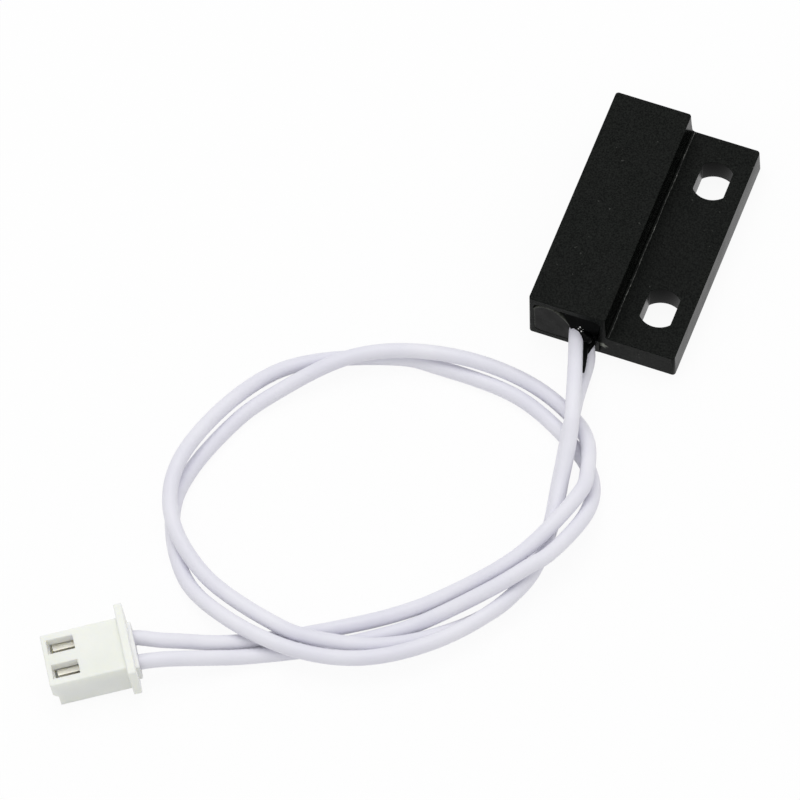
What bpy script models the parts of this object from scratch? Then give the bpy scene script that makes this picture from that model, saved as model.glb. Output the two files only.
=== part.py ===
# Flange-mount reed sensor on two loose wires that end in a two-way crimp plug.
# Metres, +Z up. The origin is the middle of the housing's underside. +X runs from the raised
# block to the flange, and the wires leave the housing at its -Y end, called the near end here.

import math

import bmesh
import bpy
import numpy as np
from mathutils import Matrix, Vector

MM = 0.001

# Housing: a raised block over the switch and a thinner flange beside it
HOUSING_LENGTH = 23.4 * MM
HOUSING_WIDTH = 14.2 * MM
HOUSING_HEIGHT = 5.9 * MM
BLOCK_WIDTH = 7.55 * MM
FLANGE_THICKNESS = 2.9 * MM
DRAFT = math.tan(math.radians(1.0))
CORNER_RADIUS = 0.3 * MM
EDGE_ROUNDING = 0.08 * MM
STEP_FILLET = 0.3 * MM

# Pocket that the switch lies in, open at the near end
SIDE_WALL = 0.55 * MM
TOP_WALL = 0.7 * MM
FLOOR_WALL = 0.65 * MM
END_WALL = 1.2 * MM
POCKET_ROUNDING = 0.6 * MM

# Two mounting slots with flat sides and round ends
SLOT_SPACING = 14.2 * MM
SLOT_LENGTH = 4.0 * MM
SLOT_WIDTH = 3.0 * MM
SLOT_TO_EDGE = 3.06 * MM
SLOT_RIM = 0.18 * MM

# Potting and its meniscus round the wires
FIT = 0.1 * MM
POTTING_RECESS = 0.3 * MM
MENISCUS_REACH = 0.9 * MM
MENISCUS_WIDTH = 3.8 * MM
MENISCUS_HEIGHT = 3.2 * MM
MENISCUS_INSET = 0.02 * MM

# Reed switch: a glass capsule with a nickel-iron reed sealed into each end
GLASS_DIAMETER = 2.2 * MM
GLASS_LENGTH = 12.0 * MM
GLASS_WALL = 0.3 * MM
SEAL_LENGTH = 1.3 * MM
SEAL_CLEARANCE = 0.05 * MM
GLASS_INSET = 1.95 * MM
GLASS_TO_FAR_FACE = 4.0 * MM
LEAD_DIAMETER = 0.5 * MM
LEAD_LENGTH = 2.3 * MM
BLADE_WIDTH = 1.0 * MM
BLADE_THICKNESS = 0.2 * MM
BLADE_OVERLAP = 0.8 * MM
CONTACT_GAP = 0.06 * MM
TAPER_LENGTH = 1.0 * MM

# Soldered joints between a lead and a conductor that lie side by side
JOINT_WEB = 0.2 * MM
JOINT_LENGTH = 1.9 * MM
JOINT_WIDTH = 1.9 * MM
JOINT_HEIGHT = 1.25 * MM
JOINT_FROM_GLASS = 1.4 * MM
JOINT_CLEARANCE = 0.05 * MM

# Wires
WIRE_DIAMETER = 1.4 * MM
CONDUCTOR_DIAMETER = 0.6 * MM
CONDUCTOR_CLEARANCE = 0.1 * MM
LAY_DATUM = (-0.13 * MM, 0.26 * MM)
EXIT_1 = (-2.65 * MM, -0.36 * MM, 2.78 * MM)
EXIT_2 = (-1.65 * MM, -0.36 * MM, 1.7 * MM)
WIRE_BESIDE_GLASS = 0.8 * MM
WIRE_BELOW_GLASS = 0.925 * MM
STRIP_AT_JOINT = 2.9 * MM
STRIP_AT_PLUG = 1.75 * MM
ROUTE_STEP = 2 * WIRE_DIAMETER
FLOOR_GAP = 0.01 * MM

# Plug: its own frame has +X out of the front, +Z up and the origin under the front edge
PLUG_FROM_STEP = (-35.27 * MM, -48.04 * MM, 0.02 * MM)
PLUG_TURN = math.radians(212.7)
PLUG_TILT = math.radians(4.0)
PLUG_PITCH = 2.5 * MM
PLUG_WIDTH = 5.2 * MM
PLUG_HEIGHT = 4.12 * MM
PLUG_LENGTH = 8.25 * MM
PLUG_AXIS_HEIGHT = 2.07 * MM
PLUG_LEAD_IN = (8.2 * MM, 7.4 * MM, 6.0 * MM, 4.0 * MM)
COLLAR_FRONT = 7.03 * MM
COLLAR_THICKNESS = 0.75 * MM
COLLAR_WIDTH = 7.4 * MM
COLLAR_RISE = 0.55 * MM
COLLAR_DROP = 0.42 * MM
COLLAR_TOP_ROUNDING = 0.25 * MM
COLLAR_FOOT_ROUNDING = 1.1 * MM
REAR_LOWERING = 0.9 * MM
REAR_INSET = 0.15 * MM
REAR_RISE = 0.4 * MM
NOSE_STEP = 0.45 * MM
NOSE_STEP_HEIGHT = 2.2 * MM
NOSE_SLOPE = 0.4 * MM
PLUG_ROUNDING = 0.12 * MM
CAVITY_WIDTH = 2.05 * MM
CAVITY_HEIGHT = 2.0 * MM
NOSE_WALL = 0.6 * MM
PIN_ENTRY = 1.0 * MM
WINDOW_SETBACK = 0.45 * MM
WINDOW_WIDTH = 1.4 * MM
WINDOW_LENGTH = 2.45 * MM

# Crimp contacts, each folded from one strip
SHEET = 0.15 * MM
CONTACT_SETBACK = 0.25 * MM
SOCKET_LENGTH = 2.5 * MM
SOCKET_WIDTH = 1.5 * MM
SOCKET_HEIGHT = 1.6 * MM
SOCKET_SEAM = 0.3 * MM
NECK_LENGTH = 0.6 * MM
CRIMP_CLEARANCE = 0.05 * MM
CORE_CRIMP_LENGTH = 1.15 * MM
COVER_CRIMP_LENGTH = 1.2 * MM
CRIMP_SEAM = math.radians(30)

OVERCUT = 1.0 * MM
CLOSE = 0.01 * MM

# Places worked out from the sizes
BLOCK_LEFT = -HOUSING_WIDTH / 2
BLOCK_RIGHT = BLOCK_LEFT + BLOCK_WIDTH
FLANGE_RIGHT = HOUSING_WIDTH / 2
NEAR_Y = -HOUSING_LENGTH / 2
FAR_Y = HOUSING_LENGTH / 2
POCKET_LOW = Vector((BLOCK_LEFT + SIDE_WALL, NEAR_Y, FLOOR_WALL))
POCKET_HIGH = Vector((BLOCK_RIGHT - SIDE_WALL, FAR_Y - END_WALL, HOUSING_HEIGHT - TOP_WALL))
GLASS_X = POCKET_LOW.x + GLASS_INSET
GLASS_Z = (POCKET_LOW.z + POCKET_HIGH.z) / 2
GLASS_FAR_Y = FAR_Y - GLASS_TO_FAR_FACE
GLASS_NEAR_Y = GLASS_FAR_Y - GLASS_LENGTH
GLASS_CENTRE_Y = GLASS_FAR_Y - GLASS_LENGTH / 2
JOINT_OFFSET = LEAD_DIAMETER / 2 + CONDUCTOR_DIAMETER / 2 + JOINT_WEB
PLUG_FRAME = (
    Matrix.Translation(Vector((BLOCK_RIGHT, NEAR_Y, 0.0)) + Vector(PLUG_FROM_STEP))
    @ Matrix.Rotation(PLUG_TURN, 4, "Z")
    @ Matrix.Rotation(PLUG_TILT, 4, "Y")
)

# Each wire's free lay in millimetres, from its exit to the approach to the plug, measured from
# a datum beside the foot of the step between block and flange at the near end
LAY_1 = [
    (-1.95, -2.4, 3.29), (-1.15, -4.7, 4.08), (0.45, -9.8, 4.72), (0.85, -11.5, 4.02),
    (1.35, -15.0, 2.80), (2.05, -19.7, 2.29), (1.85, -25.6, 2.21), (-2.25, -32.5, 2.22),
    (-8.55, -37.6, 2.53), (-14.75, -39.1, 2.47), (-22.25, -38.0, 2.05), (-27.75, -34.7, 0.70),
    (-31.25, -27.8, 0.70), (-29.15, -18.6, 0.70), (-26.45, -14.5, 1.18), (-21.65, -9.7, 2.17),
    (-17.05, -7.3, 2.35), (-10.75, -5.9, 1.96), (-4.95, -6.0, 1.03), (-0.55, -7.7, 0.81),
    (2.05, -10.3, 2.03), (3.45, -14.2, 3.10), (3.65, -15.8, 3.65), (0.65, -23.9, 3.61),
    (-4.45, -29.0, 1.65), (-8.25, -32.0, 0.84), (-15.35, -36.6, 0.70), (-20.25, -39.2, 0.80),
    (-22.85, -40.5, 1.30), (-25.05, -41.5, 2.00), (-26.85, -42.3, 2.50),
]
LAY_2 = [
    (-0.95, -2.1, 1.58), (-0.15, -7.4, 2.95), (0.85, -14.2, 1.34), (1.65, -19.0, 0.70),
    (1.75, -20.9, 0.70), (0.95, -26.4, 0.70), (-0.95, -29.7, 0.70), (-5.25, -33.8, 1.17),
    (-9.15, -36.2, 1.95), (-14.95, -37.5, 2.42), (-17.25, -37.3, 2.25), (-25.85, -34.4, 1.67),
    (-30.65, -30.1, 2.47), (-31.95, -24.2, 2.39), (-27.25, -12.4, 1.00), (-17.35, -7.3, 0.70),
    (-13.75, -7.0, 0.70), (-5.35, -7.6, 0.70), (1.65, -11.2, 0.70), (3.65, -13.4, 0.70),
    (4.65, -17.7, 2.76), (3.05, -23.3, 3.81), (2.15, -24.6, 3.96), (-0.55, -27.7, 3.18),
    (-7.15, -33.2, 0.72), (-11.85, -36.5, 0.70), (-19.45, -40.6, 0.95), (-22.05, -42.0, 1.60),
    (-24.35, -43.2, 2.20), (-25.85, -44.0, 2.55),
]


# Materials
def material(name, colour, roughness, metallic=0.0, transmission=0.0):
    surface = bpy.data.materials.new(name)
    surface.use_nodes = True
    shader = surface.node_tree.nodes["Principled BSDF"]
    shader.inputs["Base Color"].default_value = (*colour, 1.0)
    shader.inputs["Roughness"].default_value = roughness
    shader.inputs["Metallic"].default_value = metallic
    shader.inputs["Transmission Weight"].default_value = transmission
    surface.diffuse_color = (*colour, 1.0)
    return surface


# Shapes held in a bmesh
def box(low, high):
    shape = bmesh.new()
    low = Vector(low)
    high = Vector(high)
    bmesh.ops.create_cube(shape, size=1.0)
    bmesh.ops.scale(shape, vec=high - low, verts=shape.verts)
    bmesh.ops.translate(shape, vec=(low + high) / 2, verts=shape.verts)
    return shape


def runs_along(edge, axis):
    way = (edge.verts[1].co - edge.verts[0].co).normalized()
    return abs(way[axis]) > 0.99


def round_edges(shape, offset, segments, chosen):
    edges = [edge for edge in shape.edges if chosen(edge)]
    bmesh.ops.bevel(
        shape,
        geom=edges,
        offset=offset,
        offset_type="OFFSET",
        segments=segments,
        profile=0.5,
        affect="EDGES",
        clamp_overlap=True,
    )


def is_sharp(edge):
    return edge.is_manifold and edge.calc_face_angle() > math.radians(40)


def ball(centre, radii, segments, rings):
    shape = bmesh.new()
    bmesh.ops.create_uvsphere(shape, u_segments=segments, v_segments=rings, radius=1.0)
    bmesh.ops.scale(shape, vec=radii, verts=shape.verts)
    bmesh.ops.translate(shape, vec=centre, verts=shape.verts)
    return shape


def loft(rings, closed):
    shape = bmesh.new()
    rows = [[shape.verts.new(place) for place in ring] for ring in rings]
    count = len(rows[0])
    steps = count if closed else count - 1
    for here, there in zip(rows, rows[1:]):
        for i in range(steps):
            j = (i + 1) % count
            shape.faces.new((here[i], here[j], there[j], there[i]))
    if closed:
        shape.faces.new(rows[0])
        shape.faces.new(rows[-1])
    return shape


# Objects
def place(shape, name, group, closed=True):
    if closed:
        bmesh.ops.recalc_face_normals(shape, faces=shape.faces[:])
    mesh = bpy.data.meshes.new(name)
    shape.to_mesh(mesh)
    shape.free()
    thing = bpy.data.objects.new(name, mesh)
    group.objects.link(thing)
    return thing


def as_cutter(thing):
    thing.hide_render = True
    thing.display_type = "WIRE"
    return thing


def combine(thing, other, operation):
    step = thing.modifiers.new(f"{operation.lower()} {other.name}", "BOOLEAN")
    step.operation = operation
    step.solver = "EXACT"
    step.object = other


def rod(name, points, radius, group, resolution=2, capped=True):
    curve = bpy.data.curves.new(name, "CURVE")
    curve.dimensions = "3D"
    spline = curve.splines.new("POLY")
    spline.points.add(len(points) - 1)
    for spot, where in zip(spline.points, points):
        spot.co = (*where, 1.0)
    curve.bevel_depth = radius
    curve.bevel_resolution = resolution
    curve.use_fill_caps = capped
    holder = bpy.data.objects.new(name, curve)
    group.objects.link(holder)
    bpy.context.view_layer.update()
    graph = bpy.context.evaluated_depsgraph_get()
    mesh = bpy.data.meshes.new_from_object(holder.evaluated_get(graph))
    bpy.data.objects.remove(holder)
    bpy.data.curves.remove(curve)
    shape = bmesh.new()
    shape.from_mesh(mesh)
    bpy.data.meshes.remove(mesh)
    bmesh.ops.remove_doubles(shape, verts=shape.verts[:], dist=0.0001 * MM)
    return place(shape, name, group, closed=capped)


def turned(name, profile, group, segments=28):
    shape = bmesh.new()
    rim = [shape.verts.new((radius, y, 0.0)) for radius, y in profile]
    for here, there in zip(rim, rim[1:]):
        shape.edges.new((here, there))
    if profile[0][0] > 0.0:
        shape.edges.new((rim[-1], rim[0]))
    thing = place(shape, name, group, closed=False)
    thing.location = (GLASS_X, 0.0, GLASS_Z)
    step = thing.modifiers.new("turn about the glass axis", "SCREW")
    step.axis = "Y"
    step.angle = math.tau
    step.steps = segments
    step.render_steps = segments
    step.use_merge_vertices = True
    step.merge_threshold = 0.001 * MM
    step.use_normal_calculate = True
    bpy.context.view_layer.update()
    graph = bpy.context.evaluated_depsgraph_get()
    mesh = bpy.data.meshes.new_from_object(thing.evaluated_get(graph))
    mesh.transform(thing.matrix_world)
    bpy.data.objects.remove(thing)
    solid = bmesh.new()
    solid.from_mesh(mesh)
    bpy.data.meshes.remove(mesh)
    return place(solid, name, group)


# Wire centrelines: a smooth curve through the route, read at even steps
def smooth(points):
    knots = [np.array(point, dtype=float) for point in points]
    knots = [2 * knots[0] - knots[1], *knots, 2 * knots[-1] - knots[-2]]
    fine = []
    for i in range(1, len(knots) - 2):
        four = knots[i - 1:i + 3]
        t = [0.0]
        for here, there in zip(four, four[1:]):
            t.append(t[-1] + math.sqrt(np.linalg.norm(there - here)))
        for u in np.linspace(t[1], t[2], 24, endpoint=False):
            a = [((t[k + 1] - u) * four[k] + (u - t[k]) * four[k + 1]) / (t[k + 1] - t[k]) for k in range(3)]
            b = [((t[k + 2] - u) * a[k] + (u - t[k]) * a[k + 1]) / (t[k + 2] - t[k]) for k in range(2)]
            fine.append(((t[2] - u) * b[0] + (u - t[1]) * b[1]) / (t[2] - t[1]))
    fine.append(knots[-2])
    return np.array(fine)


def covered_run(wire):
    """Centreline of the insulation in even steps."""
    run = np.concatenate([[0.0], np.cumsum(np.linalg.norm(np.diff(wire, axis=0), axis=1))])
    covered = run[-1] - STRIP_AT_JOINT - STRIP_AT_PLUG
    count = int(round(covered / ROUTE_STEP))
    spots = np.linspace(STRIP_AT_JOINT, run[-1] - STRIP_AT_PLUG, count + 1)
    return [tuple(float(np.interp(spot, run, wire[:, k])) for k in range(3)) for spot in spots]


def bare_run(wire):
    """Centreline of the conductor: the insulation's points and the stripped ends."""
    run = np.concatenate([[0.0], np.cumsum(np.linalg.norm(np.diff(wire, axis=0), axis=1))])
    spots = (0.0, STRIP_AT_JOINT / 3, STRIP_AT_JOINT * 2 / 3)
    start = [tuple(float(np.interp(spot, run, wire[:, k])) for k in range(3)) for spot in spots]
    return [*start, *covered_run(wire), tuple(float(value) for value in wire[-1])]


def in_lay(point):
    return (BLOCK_RIGHT + LAY_DATUM[0] + point[0], NEAR_Y + LAY_DATUM[1] + point[1], point[2])


def joint_line(side):
    """Where a conductor lies along its lead: its end and the place where it leaves the joint."""
    glass_end = GLASS_NEAR_Y if side < 0 else GLASS_FAR_Y
    middle = glass_end + side * JOINT_FROM_GLASS
    x = GLASS_X + JOINT_OFFSET
    reach = JOINT_LENGTH * 0.4
    return [(x, middle + reach, GLASS_Z), (x, middle - reach, GLASS_Z)]


def part_way(start, stop, along, across):
    """A point between two others, with its own share of the way along Y and of the way across."""
    return (
        start[0] + (stop[0] - start[0]) * across,
        start[1] + (stop[1] - start[1]) * along,
        start[2] + (stop[2] - start[2]) * across,
    )


def near_inner_route():
    end, leave = joint_line(-1)
    out = in_lay(EXIT_1)
    return [end, leave, part_way(leave, out, 0.4, 0.35), part_way(leave, out, 0.75, 0.8), out]


def far_inner_route():
    end, leave = joint_line(1)
    beside = GLASS_X + GLASS_DIAMETER / 2 + WIRE_BESIDE_GLASS + WIRE_DIAMETER / 2
    low = GLASS_Z - WIRE_BELOW_GLASS
    run_start = (beside, GLASS_FAR_Y - 5.0 * MM, low)
    run_stop = (beside, GLASS_NEAR_Y + 0.5 * MM, low)
    out = in_lay(EXIT_2)
    return [
        end,
        leave,
        part_way(leave, run_start, 0.25, 0.65),
        part_way(leave, run_start, 0.5, 0.93),
        run_start,
        run_stop,
        part_way(run_stop, out, 0.6, 0.4),
        out,
    ]


def centreline(inner, lay, cavity_y):
    """A wire's smooth centreline, led straight into the plug's cavity at the given place across it."""
    points = inner + [in_lay([MM * value for value in point]) for point in lay]
    for back in PLUG_LEAD_IN:
        points.append(tuple(PLUG_FRAME @ Vector((-back, cavity_y, PLUG_AXIS_HEIGHT))))
    wire = smooth(points)
    wire[:, 2] = np.maximum(wire[:, 2], WIRE_DIAMETER / 2 + FLOOR_GAP)
    return wire


# Housing
def slot_outline(middle_y, height, grow):
    """Flat-sided slot with round ends, grown all round by the given amount."""
    radius = SLOT_LENGTH / 2 + grow
    half_width = SLOT_WIDTH / 2 + grow
    corner = math.acos(half_width / radius)
    outline = []
    for start in (corner, corner + math.pi):
        for i in range(15):
            angle = start + (math.pi - 2 * corner) * i / 14
            x = FLANGE_RIGHT - SLOT_TO_EDGE + radius * math.cos(angle)
            outline.append((x, middle_y + radius * math.sin(angle), height))
    return outline


def make_housing(parts, cutters):
    outline = [
        (BLOCK_LEFT, 0.0),
        (FLANGE_RIGHT, 0.0),
        (FLANGE_RIGHT, FLANGE_THICKNESS),
        (BLOCK_RIGHT, FLANGE_THICKNESS),
        (BLOCK_RIGHT, HOUSING_HEIGHT),
        (BLOCK_LEFT, HOUSING_HEIGHT),
    ]
    shape = bmesh.new()
    end = shape.faces.new([shape.verts.new((x, NEAR_Y, z)) for x, z in outline])
    swept = bmesh.ops.extrude_face_region(shape, geom=[end])
    moved = [item for item in swept["geom"] if isinstance(item, bmesh.types.BMVert)]
    bmesh.ops.translate(shape, vec=(0.0, HOUSING_LENGTH, 0.0), verts=moved)
    for spot in shape.verts:
        from_step = spot.co.z - FLANGE_THICKNESS if abs(spot.co.x - BLOCK_RIGHT) < CLOSE else spot.co.z
        spot.co.x -= math.copysign(DRAFT * from_step, spot.co.x)
        spot.co.y -= math.copysign(DRAFT * spot.co.z, spot.co.y)

    def in_step(edge):
        at = edge.verts[0].co
        return (
            runs_along(edge, 1)
            and abs(at.x - BLOCK_RIGHT) < CLOSE
            and abs(at.z - FLANGE_THICKNESS) < CLOSE
        )

    round_edges(shape, CORNER_RADIUS, 4, lambda edge: runs_along(edge, 2))
    round_edges(shape, STEP_FILLET, 3, in_step)
    bmesh.ops.recalc_face_normals(shape, faces=shape.faces[:])
    round_edges(shape, EDGE_ROUNDING, 2, is_sharp)
    housing = place(shape, "housing", parts)

    pocket = box((POCKET_LOW.x, NEAR_Y - OVERCUT, POCKET_LOW.z), POCKET_HIGH)
    round_edges(pocket, POCKET_ROUNDING, 4, lambda edge: runs_along(edge, 1))
    combine(housing, as_cutter(place(pocket, "pocket_cutter", cutters)), "DIFFERENCE")
    for side, label in ((-1, "near"), (1, "far")):
        rims = [
            (-OVERCUT, SLOT_RIM),
            (0.0, SLOT_RIM),
            (SLOT_RIM * 0.3, SLOT_RIM * 0.3),
            (SLOT_RIM, 0.0),
            (FLANGE_THICKNESS - SLOT_RIM, 0.0),
            (FLANGE_THICKNESS - SLOT_RIM * 0.3, SLOT_RIM * 0.3),
            (FLANGE_THICKNESS, SLOT_RIM),
            (FLANGE_THICKNESS + OVERCUT, SLOT_RIM),
        ]
        rings = [slot_outline(side * SLOT_SPACING / 2, height, grow) for height, grow in rims]
        slot = place(loft(rings, True), f"{label}_slot_cutter", cutters)
        combine(housing, as_cutter(slot), "DIFFERENCE")
    return housing


# Reed switch
def glass_outline(grow):
    """Outside of the capsule from its near tip to its far tip, grown by the given amount."""
    inner = LEAD_DIAMETER / 2 + SEAL_CLEARANCE
    outer = GLASS_DIAMETER / 2 + grow
    reach = outer - inner
    bends = [math.radians(angle) for angle in (0, 18, 36, 54, 72, 90)]
    near = GLASS_NEAR_Y - grow
    far = GLASS_FAR_Y + grow
    profile = [(inner + reach * math.sin(bend), near + reach * (1 - math.cos(bend))) for bend in bends]
    bends.reverse()
    profile += [(inner + reach * math.sin(bend), far - reach * (1 - math.cos(bend))) for bend in bends]
    return profile


def make_glass(parts):
    inner = LEAD_DIAMETER / 2 + SEAL_CLEARANCE
    bore = GLASS_DIAMETER / 2 - GLASS_WALL
    reach = bore - inner
    bends = [math.radians(angle) for angle in (0, 30, 60, 90)]
    near = GLASS_NEAR_Y + SEAL_LENGTH
    far = GLASS_FAR_Y - SEAL_LENGTH
    profile = glass_outline(0.0)
    profile += [(inner + reach * math.sin(bend), far - reach * (1 - math.cos(bend))) for bend in bends]
    bends.reverse()
    profile += [(inner + reach * math.sin(bend), near + reach * (1 - math.cos(bend))) for bend in bends]
    return turned("reed_glass", profile, parts)


def make_reed(name, side, parts):
    """Lead, taper and flat blade in one; side is -1 for the near reed and 1 for the far reed."""
    tip = GLASS_CENTRE_Y - side * BLADE_OVERLAP / 2
    seal = GLASS_NEAR_Y + SEAL_LENGTH if side < 0 else GLASS_FAR_Y - SEAL_LENGTH
    start = GLASS_NEAR_Y - LEAD_LENGTH if side < 0 else GLASS_FAR_Y + LEAD_LENGTH
    lift = side * (CONTACT_GAP + BLADE_THICKNESS) / 2
    half_width = BLADE_WIDTH / 2
    half_thick = BLADE_THICKNESS / 2
    flat = [
        (half_width, 0.0),
        (half_width, half_thick),
        (half_width / 2, half_thick),
        (0.0, half_thick),
        (-half_width / 2, half_thick),
        (-half_width, half_thick),
        (-half_width, 0.0),
        (-half_width, -half_thick),
        (-half_width / 2, -half_thick),
        (0.0, -half_thick),
        (half_width / 2, -half_thick),
        (half_width, -half_thick),
    ]
    turn = [math.tau * i / 12 for i in range(12)]
    circle = [(LEAD_DIAMETER / 2 * math.cos(angle), LEAD_DIAMETER / 2 * math.sin(angle)) for angle in turn]
    stations = [
        (start, circle, 0.0),
        (seal, circle, 0.0),
        (seal - side * TAPER_LENGTH, flat, lift),
        (tip, flat, lift),
    ]
    rings = [[(GLASS_X + x, y, GLASS_Z + z + rise) for x, z in outline] for y, outline, rise in stations]
    return place(loft(rings, True), name, parts)


def lead_points(side, past):
    start = GLASS_NEAR_Y - LEAD_LENGTH - past if side < 0 else GLASS_FAR_Y + LEAD_LENGTH + past
    seal = GLASS_NEAR_Y + SEAL_LENGTH if side < 0 else GLASS_FAR_Y - SEAL_LENGTH
    return [(GLASS_X, start, GLASS_Z), (GLASS_X, seal, GLASS_Z)]


def joint_ball(side, grow):
    glass_end = GLASS_NEAR_Y if side < 0 else GLASS_FAR_Y
    middle = (GLASS_X + JOINT_OFFSET / 2, glass_end + side * JOINT_FROM_GLASS, GLASS_Z)
    radii = (JOINT_WIDTH / 2 + grow, JOINT_LENGTH / 2 + grow, JOINT_HEIGHT / 2 + grow)
    return ball(middle, radii, 24, 12)


def longer(points, extra):
    """The same centreline with its first end carried on by the given length."""
    away = np.array(points[0]) - np.array(points[1])
    return [tuple(np.array(points[0]) + away / np.linalg.norm(away) * extra), *points]


def make_joint(name, side, wire, parts, cutters):
    joint = place(joint_ball(side, 0.0), name, parts)
    run = lead_points(side, OVERCUT)
    lead = rod(f"{name}_lead_bore", run, LEAD_DIAMETER / 2 + JOINT_CLEARANCE, cutters, 4)
    combine(joint, as_cutter(lead), "DIFFERENCE")
    run = longer(bare_run(wire)[:5], OVERCUT)
    bore = rod(f"{name}_wire_bore", run, CONDUCTOR_DIAMETER / 2 + JOINT_CLEARANCE, cutters, 4)
    combine(joint, as_cutter(bore), "DIFFERENCE")
    return joint


# Potting
def make_potting(wires, parts, cutters):
    face = NEAR_Y + POTTING_RECESS
    low = (POCKET_LOW.x + FIT, face, POCKET_LOW.z + FIT)
    high = (POCKET_HIGH.x - FIT, POCKET_HIGH.y - FIT, POCKET_HIGH.z - FIT)
    shape = box(low, high)
    round_edges(shape, POCKET_ROUNDING - FIT, 4, lambda edge: runs_along(edge, 1))
    potting = place(shape, "potting_compound", parts)
    middle = (high[0] - MENISCUS_WIDTH / 2, face, low[2] + MENISCUS_HEIGHT / 2)
    radii = (MENISCUS_WIDTH / 2 - MENISCUS_INSET, MENISCUS_REACH, MENISCUS_HEIGHT / 2 - MENISCUS_INSET)
    meniscus = place(ball(middle, radii, 32, 16), "meniscus", cutters)
    combine(potting, as_cutter(meniscus), "UNION")

    profile = glass_outline(FIT)
    profile = [(0.0, profile[0][1]), *profile, (0.0, profile[-1][1])]
    hollows = [turned("glass_hollow", profile, cutters)]
    for side, label, wire in ((-1, "near", wires[0]), (1, "far", wires[1])):
        lead = lead_points(side, FIT)
        hollows.append(rod(f"{label}_lead_hollow", lead, LEAD_DIAMETER / 2 + FIT, cutters, 4))
        hollows.append(place(joint_ball(side, FIT), f"{label}_joint_hollow", cutters))
        bare = longer(bare_run(wire)[:5], FIT)
        hollows.append(rod(f"{label}_core_hollow", bare, CONDUCTOR_DIAMETER / 2 + FIT, cutters, 4))
        covered = [point for point in covered_run(wire)[:20] if point[1] > NEAR_Y - 2 * ROUTE_STEP]
        covered = longer(covered, FIT)
        hollows.append(rod(f"{label}_wire_hollow", covered, WIRE_DIAMETER / 2 + FIT, cutters, 4))
    for hollow in hollows:
        combine(potting, as_cutter(hollow), "DIFFERENCE")
    return potting


# Wires
def make_wire(number, wire, parts):
    conductor = rod(f"wire_{number}_conductor", bare_run(wire), CONDUCTOR_DIAMETER / 2, parts, 1)
    run = covered_run(wire)
    insulation = rod(f"wire_{number}_insulation", run, WIRE_DIAMETER / 2, parts, 2, capped=False)
    wall = insulation.modifiers.new("wall", "SOLIDIFY")
    wall.thickness = (WIRE_DIAMETER - CONDUCTOR_DIAMETER) / 2 - CONDUCTOR_CLEARANCE
    wall.offset = -1.0
    wall.use_even_offset = True
    wall.use_rim = True
    return insulation, conductor


# Plug housing, modelled in the plug's own frame
def make_plug(parts, cutters):
    half = PLUG_WIDTH / 2
    collar_back = COLLAR_FRONT + COLLAR_THICKNESS
    body = box((-COLLAR_FRONT - COLLAR_THICKNESS / 2, -half, 0.0), (0.0, half, PLUG_HEIGHT))
    round_edges(body, PLUG_ROUNDING, 2, is_sharp)
    plug = place(body, "plug_housing", parts)
    collar = box(
        (-collar_back, -COLLAR_WIDTH / 2, -COLLAR_DROP),
        (-COLLAR_FRONT, COLLAR_WIDTH / 2, PLUG_HEIGHT + COLLAR_RISE),
    )

    def at_top(edge):
        return runs_along(edge, 0) and edge.verts[0].co.z > 0.0

    def at_foot(edge):
        return runs_along(edge, 0) and edge.verts[0].co.z < 0.0

    round_edges(collar, COLLAR_TOP_ROUNDING, 3, at_top)
    round_edges(collar, COLLAR_FOOT_ROUNDING, 5, at_foot)
    round_edges(collar, PLUG_ROUNDING, 2, is_sharp)
    stub = box(
        (-PLUG_LENGTH, -half + REAR_INSET, REAR_RISE),
        (-COLLAR_FRONT - COLLAR_THICKNESS * 0.7, half - REAR_INSET, PLUG_HEIGHT - REAR_LOWERING),
    )
    round_edges(stub, PLUG_ROUNDING, 2, is_sharp)
    pieces = [(collar, "collar", "UNION"), (stub, "rear_stub", "UNION")]
    step = box((-NOSE_STEP, -half - OVERCUT, -OVERCUT), (OVERCUT, half + OVERCUT, NOSE_STEP_HEIGHT))

    def inner_top(edge):
        at = edge.verts[0].co
        return runs_along(edge, 1) and at.x < 0.0 and at.z > 0.0

    round_edges(step, NOSE_SLOPE, 1, inner_top)
    pieces.append((step, "nose_step", "DIFFERENCE"))
    for side, label in ((-1, "far"), (1, "near")):
        middle = side * PLUG_PITCH / 2
        ceiling = PLUG_AXIS_HEIGHT + CAVITY_HEIGHT / 2
        cavity = box(
            (-PLUG_LENGTH - OVERCUT, middle - CAVITY_WIDTH / 2, ceiling - CAVITY_HEIGHT),
            (-NOSE_WALL, middle + CAVITY_WIDTH / 2, ceiling),
        )
        window = box(
            (-WINDOW_SETBACK - WINDOW_LENGTH, middle - WINDOW_WIDTH / 2, ceiling - SHEET),
            (-WINDOW_SETBACK, middle + WINDOW_WIDTH / 2, PLUG_HEIGHT + OVERCUT),
        )
        entry = box(
            (-NOSE_WALL - SHEET, middle - PIN_ENTRY / 2, PLUG_AXIS_HEIGHT - PIN_ENTRY / 2),
            (OVERCUT, middle + PIN_ENTRY / 2, PLUG_AXIS_HEIGHT + PIN_ENTRY / 2),
        )
        pieces += [(cavity, f"{label}_cavity", "DIFFERENCE")]
        pieces += [(window, f"{label}_window", "DIFFERENCE")]
        pieces += [(entry, f"{label}_pin_entry", "DIFFERENCE")]
    for shape, label, operation in pieces:
        cutter = as_cutter(place(shape, f"plug_{label}", cutters))
        cutter.data.transform(PLUG_FRAME)
        combine(plug, cutter, operation)
    plug.data.transform(PLUG_FRAME)
    return plug


# Crimp contacts, folded from one strip whose sections have 17 points, the middle one at the bottom
def folded(half_width, bottom, top, seam):
    """Box section with a seam along its top."""
    high = [(seam / 2, top), (half_width / 2 + seam / 4, top), (half_width, top)]
    wall = [(half_width, top + (bottom - top) * part) for part in (0.25, 0.5, 0.75)]
    low = [(half_width, bottom), (half_width / 2, bottom)]
    right = high + wall + low
    return [(-y, z) for y, z in right] + [(0.0, bottom)] + list(reversed(right))


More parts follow.
